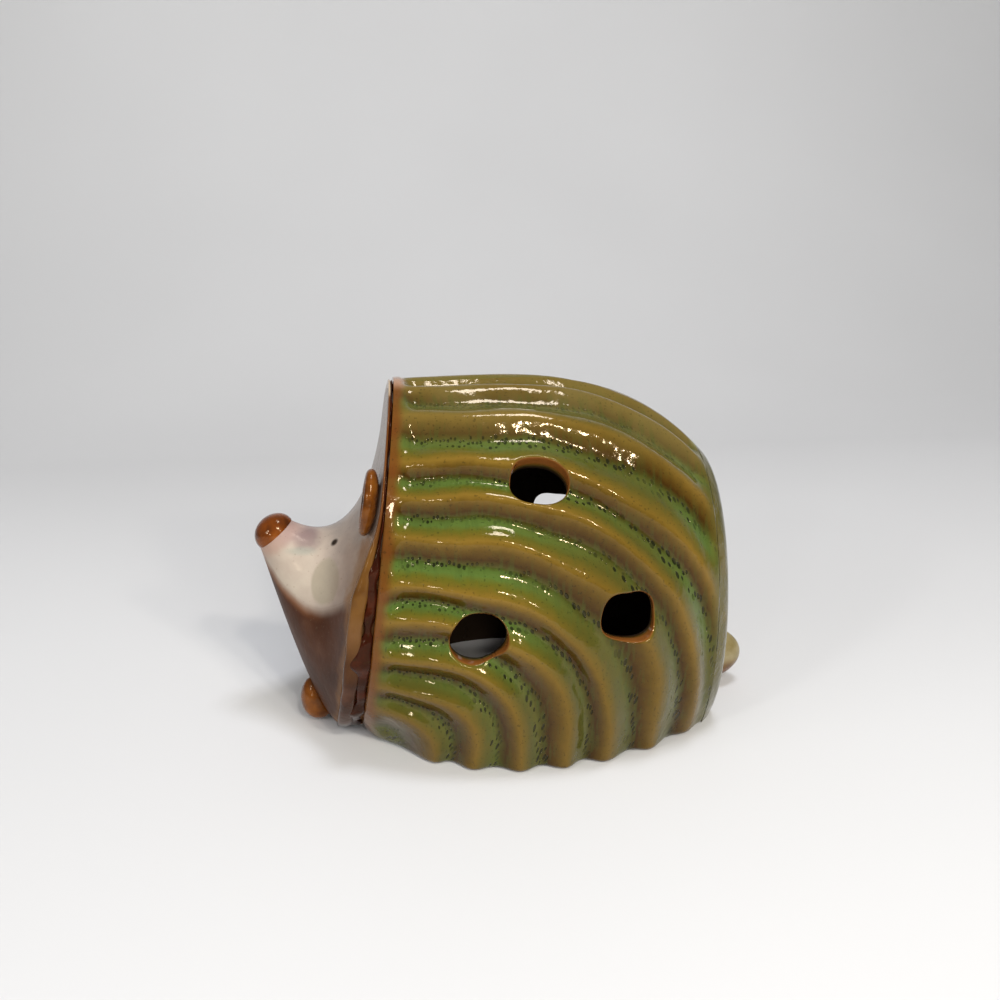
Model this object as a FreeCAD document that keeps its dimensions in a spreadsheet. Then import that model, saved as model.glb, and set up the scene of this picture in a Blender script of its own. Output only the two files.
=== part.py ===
import FreeCAD, Part
import math
import os

# Hollow pierced stoneware hedgehog, in millimetres.
# +Z is up, the nose points along -X and the animal's left side is -Y.
# The origin is under the middle of the whole figure, on the surface it stands on.

os.makedirs("parts", exist_ok=True)
doc = FreeCAD.newDocument("hedgehog")

# Driving dimensions
SIZES = (
    # Ribbed body: reach of each end from the origin, heights and half widths.
    # crown_swell is the crown's highest point above its front end
    ("front_reach", 31.5), ("rear_reach", 55.6), ("front_lean", 12.5),
    ("crown_front", 94.5), ("crown_swell", 0.5), ("crown_rear", 70.5),
    ("waist_front", 36.0), ("waist_side", 46.5), ("waist_rear", 27.0),
    ("foot_front", 10.0), ("foot_side", 43.0), ("foot_rear", 18.0),
    ("wall_side", 5.5), ("groove_depth", 2.8),
    # Closing slab at the rear and the tail pinched on it
    ("rump_thick", 4.4), ("rump_round", 1.5),
    ("tail_reach", 14.7), ("tail_tall", 9.0), ("tail_half", 7.0), ("tail_rise", 9.4),
    # Luting coil in the front seam and the rolled border outside it. The face stands
    # proud of the collar by edge_top down to edge_high, and by edge_more beyond that
    # from edge_low down
    ("edge_top", 1.6), ("edge_more", 5.0), ("edge_high", 68.0), ("edge_low", 42.0),
    ("luting_inset", 1.2),
    ("border_inset", 0.3), ("border_wide", 2.3), ("seat_gap", 0.1),
    # Face slab drawn out to the snout: reach forward of the collar, height, half width
    ("face_wall", 4.0),
    ("brow_reach", 6.0), ("brow_rise", 57.0), ("brow_half", 25.0),
    ("bridge_reach", 16.5), ("bridge_rise", 48.5), ("bridge_half", 12.0),
    ("tip_reach", 29.3), ("tip_rise", 56.6), ("tip_half", 5.2),
    ("chin_reach", 25.0), ("chin_rise", 2.5), ("jaw_reach", 32.5), ("jaw_rise", 30.0),
    ("lip_reach", 37.5), ("lip_rise", 50.0), ("chin_keel", 1.2),
    # Nose, ears and paws
    ("nose_deep", 5.0), ("nose_long", 5.7), ("nose_half", 5.4),
    ("ear_tall", 8.7), ("ear_thick", 2.6), ("ear_half", 6.2), ("ear_rim", 1.6),
    ("ear_forward", 4.4), ("ear_side", 21.5), ("ear_rise", 67.3), ("ear_drop", 11.0),
    ("ear_lean_angle", 9.5),
    ("paw_tall", 6.4), ("paw_long", 4.6), ("paw_half", 4.4), ("paw_side", 7.0),
    ("paw_reach", 24.3), ("paw_rise", 6.5), ("paw_lean_angle", 12.0), ("paw_setback", 1.6),
    # Hand-cut holes: upper, rear and lower, each with its place, width and height
    ("upper_reach", 2.2), ("upper_rise", 75.4), ("upper_wide", 13.4), ("upper_tall", 9.4),
    ("upper_side", 34.5), ("upper_tilt_angle", 20.0),
    ("rear_hole_reach", 23.4), ("rear_hole_rise", 41.6), ("rear_wide", 14.0), ("rear_tall", 12.6),
    ("lower_reach", -14.0), ("lower_rise", 38.0), ("lower_wide", 13.8), ("lower_tall", 13.0),
    ("far_hole_shift", 3.0), ("cut_over", 5.0),
)

# Shares: places along the body, round its side and in its curves
CROWN_PLACE_SHARE = 0.30
SIDE_PLACE_SHARE = 0.45
WAIST_RISE_SHARE = 0.38
ARCH_SHARE = 0.70
RIB_BEND_SHARES = (0.01, 1.50)
RIB_LEVEL_SHARES = (0.12, 0.19, 0.265, 0.345, 0.41, 0.505, 0.59, 0.665, 0.785, 0.905, 1.01)
VALLEY_START_SHARES = (0.015, 0.075)
VALLEY_END_SHARES = (0.88, 0.945)
LUTING_SHARE = 0.42
FACE_HOLLOW_SHARE = 0.80
CHEEK_WAIST_SHARE = 0.50
CROWN_POWER = 2.5
WAIST_POWER = 2.2
FOOT_POWER = 2.0
RIB_POWER = 3.0

# Counts of points that carry the surfaces
RIB_ALONG_COUNT = 60
RIB_ROUND_COUNT = 72
ALONG_COUNT = 14
ROUND_COUNT = 24
SKIN_DEGREE = 3

sheet = doc.addObject("Spreadsheet::Sheet", "sizes")
for row, (alias, value) in enumerate(SIZES, start=1):
    sheet.set("A%d" % row, alias)
    sheet.set("B%d" % row, str(value))
    sheet.setAlias("B%d" % row, alias)
doc.recompute()


def size(alias):
    """A driving dimension, read from the sheet."""
    return float(sheet.get(alias))


def vector(x, y, z):
    return FreeCAD.Vector(x, y, z)


# Shape of the body
def oval(along, front, widest, rear, place, power):
    """Half size along the body: two superellipse quarters that meet at the widest place."""
    end = front if along < place else rear
    span = place if along < place else 1 - place
    reach = span / (1 - (end / widest) ** power) ** (1 / power)
    return widest * (1 - (abs(along - place) / reach) ** power) ** (1 / power)


def crown_top():
    return size("crown_front") + size("crown_swell")


def crown_at(along):
    return oval(along, size("crown_front"), crown_top(), size("crown_rear"),
                CROWN_PLACE_SHARE, CROWN_POWER)


def waist_at(along):
    return oval(along, size("waist_front"), size("waist_side"), size("waist_rear"),
                SIDE_PLACE_SHARE, WAIST_POWER)


def foot_at(along):
    return oval(along, size("foot_front"), size("foot_side"), size("foot_rear"),
                SIDE_PLACE_SHARE, FOOT_POWER)


def front_plane_x(height):
    """The collar plane: its foot stands front_lean further forward than its top."""
    below = 1 - height / size("crown_front")
    return -size("front_reach") - size("front_lean") * below


def rib_level(along, around):
    """Which rib a point belongs to: level lines run back from the collar, then turn down."""
    start, bend = RIB_BEND_SHARES
    back = max(0, along - start) / bend
    return (back ** RIB_POWER + (1 - around) ** RIB_POWER) ** (1 / RIB_POWER)


def fade(value, low, high):
    """Smooth step from 0 at low to 1 at high."""
    part = min(1, max(0, (value - low) / (high - low)))
    return part * part * (3 - 2 * part)


def valley(along, around):
    """Depth share of the drawn grooves: 0 on a rib's crest, 1 in the middle of a valley."""
    level = rib_level(along, around)
    shares = (0,) + RIB_LEVEL_SHARES
    for low, high in zip(shares, shares[1:]):
        if low <= level < high:
            part = (level - low) / (high - low)
            depth = (1 - math.cos(2 * math.pi * part)) / 2
            ends = fade(along, *VALLEY_START_SHARES) * (1 - fade(along, *VALLEY_END_SHARES))
            return depth * ends
    return 0


def body_point(along, around, inset=0, relief=0):
    """A point of one side: around goes from 0 on the crown to 1 on the foot.

    Above the waist the side is a quarter ellipse, and below it an ellipse that draws in.
    inset moves it in by a length, and relief by a length that fades out at the crown's
    middle and acts sideways at the foot.
    """
    crown = crown_at(along)
    waist_rise = WAIST_RISE_SHARE * crown
    waist = waist_at(along) - inset
    draw_in = 1 - (foot_at(along) / waist_at(along)) ** 2
    if around < ARCH_SHARE:
        turn = around / ARCH_SHARE * math.pi / 2
        half = waist * math.sin(turn)
        rise = waist_rise + (crown - inset - waist_rise) * math.cos(turn)
        slope_half = math.sin(turn) / waist
        slope_rise = math.cos(turn) / (crown - inset - waist_rise)
        length = math.hypot(slope_half, slope_rise)
        half -= relief * slope_half / length
        rise -= relief * slope_rise / length
    else:
        drop = (around - ARCH_SHARE) / (1 - ARCH_SHARE)
        half = waist * math.sqrt(1 - drop * drop * draw_in) - relief
        rise = waist_rise * (1 - drop)
    x = (1 - along) * front_plane_x(rise) + along * size("rear_reach")
    return vector(x, half, rise)


def spread(low, high, count):
    return [low + (high - low) * i / count for i in range(count + 1)]


def clamped_knots(count, degree):
    """Knots and multiplicities of a clamped spline with evenly spaced knots."""
    spans = count - degree
    knots = [i / spans for i in range(spans + 1)]
    return knots, [degree + 1] + [1] * (spans - 1) + [degree + 1]


def skin_of(rows):
    """A smooth surface whose control points are the given rows of points."""
    along_knots, along_mults = clamped_knots(len(rows), SKIN_DEGREE)
    round_knots, round_mults = clamped_knots(len(rows[0]), SKIN_DEGREE)
    surface = Part.BSplineSurface()
    surface.buildFromPolesMultsKnots(rows, along_mults, round_mults, along_knots, round_knots,
                                     False, False, SKIN_DEGREE, SKIN_DEGREE)
    return surface


def solid_from(faces):
    """A closed solid sewn from faces that share their edges."""
    shell = Part.makeShell(faces)
    shell.sewShape()
    solid = Part.makeSolid(Part.Shell(shell.Faces))
    if solid.Volume < 0:
        solid.reverse()
    return solid


def flat_face(edges):
    return Part.Face(Part.Wire(Part.__sortEdges__(edges)))


def closed_solid(rows):
    """A solid under one skin: flat at both end rows, ruled between the skin's long edges."""
    skin = skin_of(rows)
    faces = [skin.toShape()]
    faces.append(Part.makeRuledSurface(skin.vIso(0).toShape(), skin.vIso(1).toShape()))
    for knot, row in ((0, rows[0]), (1, rows[-1])):
        faces.append(flat_face([skin.uIso(knot).toShape(), Part.makeLine(row[-1], row[0])]))
    return solid_from(faces)


def wall_solid(outer_rows, inner_rows):
    """A wall between two skins, with flat faces along all four of its borders."""
    outer = skin_of(outer_rows)
    inner = skin_of(inner_rows)
    bridges = {(end, side): Part.makeLine(outer_rows[end][side], inner_rows[end][side])
               for end in (0, -1) for side in (0, -1)}
    faces = [outer.toShape(), inner.toShape()]
    for knot, place in ((0, 0), (1, -1)):
        faces.append(flat_face([outer.uIso(knot).toShape(), inner.uIso(knot).toShape(),
                                bridges[(place, 0)], bridges[(place, -1)]]))
        faces.append(flat_face([outer.vIso(knot).toShape(), inner.vIso(knot).toShape(),
                                bridges[(0, place)], bridges[(-1, place)]]))
    return solid_from(faces)


def mirrored(points):
    return [vector(point.x, -point.y, point.z) for point in points]


def side_row(along, count, inset=0, grooved=False):
    """One section of the right side, from the crown's middle down to the foot."""
    row = []
    for around in spread(0, 1, count):
        relief = size("groove_depth") * valley(along, around) if grooved else 0
        row.append(body_point(along, around, inset, relief))
    row[0].y = 0
    return row


def arch_row(along, count, inset=0):
    """One whole section, from the left foot over the crown to the right foot."""
    side = side_row(along, count, inset)
    return list(reversed(mirrored(side[1:]))) + side


def keep(shape, name):
    """Hold a computed solid in the document under its own label."""
    feature = doc.addObject("Part::Feature", name)
    feature.Shape = shape
    feature.Label = name
    return feature


# Body: two ribbed halves joined face to face along the crown, open underneath
BODY_LENGTH = size("front_reach") + size("rear_reach")
BODY_END_SHARE = 1 - size("rump_thick") / BODY_LENGTH

HOLES = (
    ("upper", "upper_reach", "upper_rise", "upper_wide", "upper_tall"),
    ("rear", "rear_hole_reach", "rear_hole_rise", "rear_wide", "rear_tall"),
    ("lower", "lower_reach", "lower_rise", "lower_wide", "lower_tall"),
)


def hole_cutter(hole, side):
    """An oval bar out through the wall on one side.

    The upper one slants up with the wall, and the right side's rear one is cut a bit off.
    """
    name, reach, rise, wide, tall = hole
    slope = math.tan(math.radians(size("upper_tilt_angle"))) if name == "upper" else 0
    shift = size("far_hole_shift") if name == "rear" and side > 0 else 0
    centre = vector(size(reach) - shift, 0, size(rise) + shift - slope * size("upper_side"))
    ring = Part.Ellipse(centre + vector(size(wide) / 2, 0, 0),
                        centre + vector(0, 0, size(tall) / 2), centre)
    across = size("waist_side") + size("cut_over")
    bar = Part.Face(Part.Wire([ring.toShape()]))
    return bar.extrude(vector(0, side * across, slope * across))


def make_half_shell(name, side):
    """One ribbed half: a drawn-groove outer skin, a plain inner skin and three holes."""
    outer_rows = []
    for along in spread(0, BODY_END_SHARE, RIB_ALONG_COUNT):
        outer_rows.append(side_row(along, RIB_ROUND_COUNT, 0, True))
    inner_rows = []
    for along in spread(0, BODY_END_SHARE, ALONG_COUNT):
        inner_rows.append(side_row(along, ROUND_COUNT, size("wall_side")))
    if side < 0:
        outer_rows = [mirrored(row) for row in outer_rows]
        inner_rows = [mirrored(row) for row in inner_rows]
    wall = wall_solid(outer_rows, inner_rows)
    for hole in HOLES:
        wall = wall.cut(hole_cutter(hole, side))
    return keep(wall, name)


# Rear: a closing slab with a rounded edge, and the tail pinched onto it
def make_rump_slab():
    rows = []
    for along in spread(BODY_END_SHARE, 1 - size("rump_round") / BODY_LENGTH, SKIN_DEGREE):
        rows.append(arch_row(along, ROUND_COUNT))
    for turn in spread(0, math.pi / 2, SKIN_DEGREE)[1:]:
        along = 1 - size("rump_round") * (1 - math.sin(turn)) / BODY_LENGTH
        rows.append(arch_row(along, ROUND_COUNT, size("rump_round") * (1 - math.cos(turn))))
    return keep(closed_solid(rows), "rump_slab")


def make_ellipsoid(name, deep, long, half, dome=False):
    """An ellipsoid, or the upper half of one, with its radii bound to the sheet."""
    ball = doc.addObject("Part::Ellipsoid", name)
    ball.Label = name
    ball.setExpression("Radius1", "sizes.%s" % deep)
    ball.setExpression("Radius2", "sizes.%s" % long)
    ball.setExpression("Radius3", "sizes.%s" % half)
    ball.Angle1 = 0 if dome else -90
    return ball


def lean_about_y(angle):
    return FreeCAD.Rotation(vector(0, 1, 0), angle)


def make_tail():
    """A pinched nub that stands on the slab's rear face."""
    tail = make_ellipsoid("tail", "tail_reach", "tail_tall", "tail_half", dome=True)
    tail.setExpression("Placement.Base.x", "sizes.rear_reach")
    tail.setExpression("Placement.Base.z", "sizes.tail_rise")
    tail.Placement.Rotation = lean_about_y(90)
    return tail


# Front seam: the luting coil, and the rolled border that frames the face
def edge_forward(height):
    """How far the front of the face's edge stands proud of the collar at a height."""
    down = fade(-height, -size("edge_high"), -size("edge_low"))
    return size("edge_top") + size("edge_more") * down


def collar_row(share, inset):
    """The collar's arch, moved forward by a share of the way to the face's front edge."""
    row = arch_row(0, ROUND_COUNT, inset)
    return [vector(point.x - share * edge_forward(point.z), point.y, point.z) for point in row]


def seam_slab(start, end):
    """The layer of space between two shares of the way from the collar to the face's front."""
    over = size("cut_over")
    lines = []
    for share in (start, end):
        points = []
        for height in spread(-over, crown_top() + over, ALONG_COUNT):
            x = front_plane_x(height) - share * edge_forward(height)
            points.append(vector(x, -size("waist_side"), height))
        curve = Part.BSplineCurve()
        curve.interpolate(points)
        lines.append(curve)
    ends = [Part.makeLine(lines[0].value(at[0]), lines[1].value(at[1])) for at in
            ((lines[0].FirstParameter, lines[1].FirstParameter),
             (lines[0].LastParameter, lines[1].LastParameter))]
    outline = flat_face([line.toShape() for line in lines] + ends)
    return outline.extrude(vector(0, 2 * size("waist_side"), 0))


def make_collar_arch(name, start, end, inset):
    """An arch that wraps the face's edge, from one foot over the crown to the other."""
    edges = []
    corners = []
    for edge_inset in (inset, size("border_inset") + size("border_wide")):
        row = arch_row(0, ROUND_COUNT, edge_inset)
        knots, mults = clamped_knots(len(row), SKIN_DEGREE)
        curve = Part.BSplineCurve()
        curve.buildFromPolesMultsKnots(row, mults, knots, False, SKIN_DEGREE)
        edges.append(curve.toShape())
        corners.append((row[0], row[-1]))
    edges += [Part.makeLine(first, second) for first, second in zip(*corners)]
    forward = vector(-edge_forward(0) - size("cut_over"), 0, 0)
    return keep(flat_face(edges).extrude(forward).common(seam_slab(start, end)), name)


# Face: a slab set on the luting coil and drawn out to the snout, hollow behind
def curve_of_four(share, first, second, third, last):
    """Cubic curve through its first and last value, steered by the two between."""
    rest = 1 - share
    return (first * rest ** 3 + second * (3 * rest * rest * share)
            + third * (3 * rest * share * share) + last * share ** 3)


def face_inset():
    return size("border_inset") + size("border_wide") + size("seat_gap")


def snout_frame(share):
    """Top point, low point, half width and foot half of the snout's section at a share."""
    top = size("crown_front") - face_inset()
    first_top = vector(front_plane_x(top) - edge_forward(top), 0, top)
    first_low = vector(front_plane_x(0) - edge_forward(0), 0, 0)
    front = -size("front_reach")
    high = curve_of_four(share, first_top,
                         vector(front - size("brow_reach"), 0, size("brow_rise")),
                         vector(front - size("bridge_reach"), 0, size("bridge_rise")),
                         vector(front - size("tip_reach"), 0, size("tip_rise")))
    low = curve_of_four(share, first_low,
                        vector(front - size("chin_reach"), 0, size("chin_rise")),
                        vector(front - size("jaw_reach"), 0, size("jaw_rise")),
                        vector(front - size("lip_reach"), 0, size("lip_rise")))
    first_half = size("waist_front") - face_inset()
    half = curve_of_four(share, first_half, size("brow_half"), size("bridge_half"),
                         size("tip_half"))
    foot = curve_of_four(share, size("foot_front"), size("chin_keel"), size("chin_keel"),
                         size("chin_keel"))
    return high, low, half, foot


def snout_section(share):
    """One flat section of the snout, from its left foot over the top to its right foot."""
    high, low, half, foot = snout_frame(share)
    waist = WAIST_RISE_SHARE + (CHEEK_WAIST_SHARE - WAIST_RISE_SHARE) * share
    row = []
    for around in spread(0, 1, ROUND_COUNT):
        if around < ARCH_SHARE:
            turn = around / ARCH_SHARE * math.pi / 2
            side = half * math.sin(turn)
            rise = waist + (1 - waist) * math.cos(turn)
        else:
            drop = (around - ARCH_SHARE) / (1 - ARCH_SHARE)
            side = half * math.sqrt(1 - drop * drop * (1 - (foot / half) ** 2))
            rise = waist * (1 - drop)
        point = low + (high - low) * rise
        row.append(vector(point.x, side, point.z))
    return list(reversed(mirrored(row[1:]))) + row


def snout_row(share):
    """A section of the snout, eased near the face's edge to meet that edge's own line."""
    ease = (1 - share) ** 3
    row = []
    edge = collar_row(1, face_inset())
    for point, first, target in zip(snout_section(share), snout_section(0), edge):
        row.append(point + (target - first) * ease)
    return row


def hollow_row(share, over=0):
    """A section of the hollow behind the face: drawn in all round and set back."""
    high, low, half, foot = snout_frame(share)
    middle = (high + low) / 2
    scale = 1 - size("face_wall") / half
    back = vector(size("face_wall") + over, 0, 0)
    return [middle + (point - middle) * scale + back for point in snout_section(share)]


def face_form():
    """The face without its hollow, which the ears and paws are also fitted to."""
    rows = []
    for share in spread(0, 1, SKIN_DEGREE):
        rows.append(collar_row(share, face_inset()))
    for share in spread(0, 1, ALONG_COUNT)[1:]:
        rows.append(snout_row(share))
    return closed_solid(rows)


def make_face(form):
    rows = [hollow_row(0, edge_forward(0) * step) for step in spread(1, 0, SKIN_DEGREE)[:-1]]
    rows += [hollow_row(share) for share in spread(0, FACE_HOLLOW_SHARE, ALONG_COUNT)]
    return keep(form.cut(closed_solid(rows)), "face")


def make_nose():
    """A clay cap on the snout's slanted end, its flat side against it."""
    high, low, half, foot = snout_frame(1)
    middle = (high + low) / 2
    slant = math.degrees(math.atan2(high.z - low.z, high.x - low.x))
    nose = make_ellipsoid("nose", "nose_deep", "nose_long", "nose_half", dome=True)
    nose.Placement = FreeCAD.Placement(middle, lean_about_y(-slant))
    return nose


def fitted(ball, tools, name):
    """A pressed-on piece: the ball without what it is pressed against."""
    shape = ball.Shape
    for tool in tools:
        shape = shape.cut(tool)
    solids = sorted(shape.Solids, key=lambda solid: solid.Volume)
    doc.removeObject(ball.Name)
    return keep(solids[-1], name)


def make_ear(name, side, form, arches):
    """A pressed disc of clay, thumbed hollow in front, on the face; the right sits lower."""
    rise = size("ear_rise") - (size("ear_drop") if side > 0 else 0)
    centre = vector(front_plane_x(rise) - size("ear_forward"), side * size("ear_side"), rise)
    ball = make_ellipsoid(name + "_disc", "ear_tall", "ear_thick", "ear_half")
    ball.Placement = FreeCAD.Placement(centre, lean_about_y(size("ear_lean_angle")))
    doc.recompute()
    dish = Part.makeSphere(size("ear_tall") - size("ear_rim"))
    squeeze = FreeCAD.Matrix()
    squeeze.scale(size("ear_thick") / size("ear_tall"),
                  (size("ear_half") - size("ear_rim")) / (size("ear_tall") - size("ear_rim")), 1)
    dish = dish.transformGeometry(squeeze)
    dish.Placement = FreeCAD.Placement(centre - vector(size("ear_thick"), 0, 0),
                                       lean_about_y(size("ear_lean_angle")))
    return fitted(ball, [dish, form] + [arch.Shape for arch in arches], name)


def make_paw(name, side, form):
    """A small rounded foot pressed against the chin; the right one sits a little back."""
    setback = size("paw_setback") if side > 0 else 0
    centre = vector(-size("front_reach") - size("paw_reach") + setback,
                    side * size("paw_side"), size("paw_rise"))
    ball = make_ellipsoid(name + "_ball", "paw_tall", "paw_long", "paw_half")
    seam_in_front = FreeCAD.Rotation(vector(0, 0, 1), 180)
    lean = lean_about_y(-size("paw_lean_angle"))
    ball.Placement = FreeCAD.Placement(centre, lean.multiply(seam_in_front))
    doc.recompute()
    return fitted(ball, [form], name)


left_shell = make_half_shell("left_shell", -1)
right_shell = make_half_shell("right_shell", 1)
rump_slab = make_rump_slab()
tail = make_tail()
luting_coil = make_collar_arch("luting_coil", 0, LUTING_SHARE, size("luting_inset"))
face_border = make_collar_arch("face_border", LUTING_SHARE, 1, size("border_inset"))
form = face_form()
face = make_face(form)
nose = make_nose()
left_ear = make_ear("left_ear", -1, form, (luting_coil, face_border))
right_ear = make_ear("right_ear", 1, form, (luting_coil, face_border))
left_paw = make_paw("left_paw", -1, form)
right_paw = make_paw("right_paw", 1, form)

PIECES = (left_shell, right_shell, rump_slab, tail, luting_coil, face_border, face, nose,
          left_ear, right_ear, left_paw, right_paw)

# Check every piece, then write it
doc.recompute()
for item in doc.Objects:
    if "Invalid" in item.State or "Error" in item.State:
        raise RuntimeError("%s could not be worked out" % item.Name)
for piece in PIECES:
    if piece.Shape.isNull() or not piece.Shape.isValid() or len(piece.Shape.Solids) != 1:
        raise RuntimeError("%s is not one valid solid" % piece.Label)
for piece in PIECES:
    piece.Shape.exportStep(os.path.join("parts", piece.Label + ".step"))
    box = piece.Shape.BoundBox
    print("%-12s volume %9.1f  x %6.1f %6.1f  y %6.1f %6.1f  z %6.1f %6.1f" % (
        piece.Label, piece.Shape.Volume, box.XMin, box.XMax, box.YMin, box.YMax,
        box.ZMin, box.ZMax))
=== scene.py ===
import math
import bpy
import numpy as np
from mathutils import Euler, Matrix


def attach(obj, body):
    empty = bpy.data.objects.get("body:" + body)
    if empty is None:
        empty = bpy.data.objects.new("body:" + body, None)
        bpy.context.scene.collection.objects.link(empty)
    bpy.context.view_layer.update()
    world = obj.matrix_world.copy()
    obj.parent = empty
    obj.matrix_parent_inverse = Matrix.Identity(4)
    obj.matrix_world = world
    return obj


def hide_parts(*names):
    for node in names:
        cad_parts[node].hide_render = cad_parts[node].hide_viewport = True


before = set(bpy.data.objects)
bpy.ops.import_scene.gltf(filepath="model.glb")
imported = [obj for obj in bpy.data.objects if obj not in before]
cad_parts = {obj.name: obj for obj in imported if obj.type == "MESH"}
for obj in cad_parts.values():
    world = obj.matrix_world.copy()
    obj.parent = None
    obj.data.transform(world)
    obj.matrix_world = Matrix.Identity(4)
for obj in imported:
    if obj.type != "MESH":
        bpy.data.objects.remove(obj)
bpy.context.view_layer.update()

# Ribbed shell halves. Hand-built stoneware drawn with a comb into thick ribs, with three
# hand-cut holes each. The reactive glaze runs thin and tan on the crests and pools green in
# the valleys, with rows of dark pits. The halves meet along the crown.
MM = 0.001
FRONT_X = -31.5
REAR_X = 55.6
FRONT_LEAN = 12.5
# Three curves from front to rear, in mm: the size at the front, at the widest and at the rear,
# the share of the length where it is widest, and how square the curve is. CROWN is the height,
# WAIST the half width and FOOT the half width on the floor.
CROWN = (94.5, 94.85, 70.5, 0.30, 2.5)
WAIST = (36.0, 46.2, 27.0, 0.45, 2.2)
FOOT = (10.0, 43.0, 18.0, 0.45, 2.0)
WAIST_RISE = 0.38
ARCH = 0.70
# Each drawn valley runs between two of these levels, from the crown's front to the rear foot
RIB_LEVELS = np.array([0, 0.12, 0.19, 0.265, 0.345, 0.41, 0.505, 0.59, 0.67, 0.797, 0.922, 1.02])
RIB_DEEP = 2.5
WALL = 5.5
RUMP_THICK = 4.4
SHELL_END = 1 - RUMP_THICK / (REAR_X - FRONT_X)
CROWN_LIP = 0.3
# How far the edge of the foot is rounded in, and up to what height
FOOT_ROUND = (1.1, 1.6)
SHELL_ALONG = 170
SHELL_ROUND = 200
LIP_STEPS = 7
# A hole's rounded lips: how much wider it opens there, and over which share of the wall
LIP_OUTSIDE = (0.10, 0.16)
LIP_INSIDE = (0.06, 0.10)


def smooth_step(value, low, high):
    """0 below low, 1 above high, with a soft S between them."""
    part = np.clip((value - low) / (high - low), 0, 1)
    return part * part * (3 - 2 * part)


def oval(along, front, widest, rear, place, power):
    """Half size along the body: two superellipse quarters that meet at the widest place."""
    ahead = place / (1 - (front / widest) ** power) ** (1 / power)
    behind = (1 - place) / (1 - (rear / widest) ** power) ** (1 / power)
    reach = np.where(along < place, ahead, behind)
    return widest * (1 - (np.abs(along - place) / reach) ** power) ** (1 / power)


def front_plane_x(height):
    """The collar plane leans: its foot stands further forward than its top."""
    return FRONT_X - FRONT_LEAN * (1 - height / CROWN[0])


def body_point(along, around, inset=0.0, relief=0.0):
    """Point of the right half in mm: around is 0 on the crown and 1 on the foot.

    Above the waist the side is a quarter ellipse, and below it an ellipse that draws in.
    inset shrinks the section, and relief moves the point in along the ellipse's normal.
    """
    along, around = np.broadcast_arrays(np.asarray(along, float), np.asarray(around, float))
    crown = oval(along, *CROWN)
    rise_waist = WAIST_RISE * crown
    waist = oval(along, *WAIST) - inset
    draw_in = 1 - (oval(along, *FOOT) / oval(along, *WAIST)) ** 2
    turn = np.clip(around / ARCH, 0, 1) * math.pi / 2
    tall = crown - inset - rise_waist
    slope_y = np.sin(turn) / waist
    slope_z = np.cos(turn) / tall
    length = np.hypot(slope_y, slope_z)
    drop = np.clip((around - ARCH) / (1 - ARCH), 0, 1)
    upper = around < ARCH
    y = np.where(upper, waist * np.sin(turn) - relief * slope_y / length,
                 waist * np.sqrt(1 - drop ** 2 * draw_in) - relief)
    z = np.where(upper, rise_waist + tall * np.cos(turn) - relief * slope_z / length,
                 rise_waist * (1 - drop))
    x = (1 - along) * front_plane_x(z) + along * REAR_X
    return np.stack([x, y, z], -1)


def rib_place(along, around):
    """Which rib a point is on, its place across the valley from 0 to 1, and the level."""
    wander = 0.0045 * np.sin(9 * along + 5 * around) + 0.003 * np.sin(23 * along - 17 * around)
    level = (np.maximum(0, along - 0.01) / 1.5) ** 3 + (1 - around) ** 3
    level = level ** (1 / 3) + wander * smooth_step(around, 0, 0.12)
    rib = np.clip(np.searchsorted(RIB_LEVELS, level, side="right") - 1, 0, len(RIB_LEVELS) - 2)
    low, high = RIB_LEVELS[rib], RIB_LEVELS[rib + 1]
    return rib, np.clip((level - low) / (high - low), 0, 1), level


def groove(along, around):
    """Depth share of the drawn grooves: round crests, slightly wider round valleys."""
    rib, part, level = rib_place(along, around)
    bowl = (1 - np.cos(2 * math.pi * part)) / 2
    bowl = bowl * (1 + 0.10 * np.sin(3.1 * rib + 14 * along))
    ends = smooth_step(along, 0.018, 0.07) * (1 - smooth_step(along, 0.89, 0.955))
    return bowl * ends


def shell_point(along, around, depth):
    """Point of the wall of the right half: depth runs from 0, outside, to 1, inside."""
    lip = (1 - smooth_step(along, 0.012, 0.034)) * (1 - smooth_step(around, 0.06, 0.13))
    outer = body_point(along, around, 0, RIB_DEEP * groove(along, around) - CROWN_LIP * lip)
    inner = body_point(along, around, WALL)
    depth = np.asarray(depth, float)[..., None]
    point = outer * (1 - depth) + inner * depth
    low = np.clip(1 - point[..., 2] / FOOT_ROUND[1], 0, 1)
    point[..., 1] -= FOOT_ROUND[0] * (1 - np.sqrt(1 - low ** 2)) * (1 - depth[..., 0])
    point[..., 1] = np.where(np.asarray(around) <= 0, 0, point[..., 1])
    return point


# Holes: place on the body, half sizes along and round it in mm, squareness and a ragged edge
HOLES = (
    {"x": 2.2, "z": 75.4, "half": (7.0, 6.1), "power": 2.3, "rag": 0.035, "phase": 0.4},
    {"x": 23.4, "z": 41.8, "half": (7.0, 6.6), "power": 2.9, "rag": 0.030, "phase": 2.0},
    {"x": -14.0, "z": 38.2, "half": (7.1, 6.6), "power": 2.1, "rag": 0.020, "phase": 4.1},
)
# The far half's rear hole was cut a little further forward and higher
FAR_SHIFT = (-3.0, 3.0)


def place_on_body(x, z):
    """The along and around values whose outer point has this x and z, by Newton steps."""
    along, around = 0.5, 0.5
    for step in range(30):
        here = body_point(along, around)
        by_along = (body_point(along + 1e-4, around) - here) / 1e-4
        by_around = (body_point(along, around + 1e-4) - here) / 1e-4
        system = np.array([[by_along[0], by_around[0]], [by_along[2], by_around[2]]])
        move = np.linalg.solve(system, np.array([x - here[0], z - here[2]]))
        along = float(np.clip(along + 0.8 * move[0], 0.02, 0.93))
        around = float(np.clip(around + 0.8 * move[1], 0.05, 0.95))
    return along, around, np.linalg.norm(by_along), np.linalg.norm(by_around)


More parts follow.
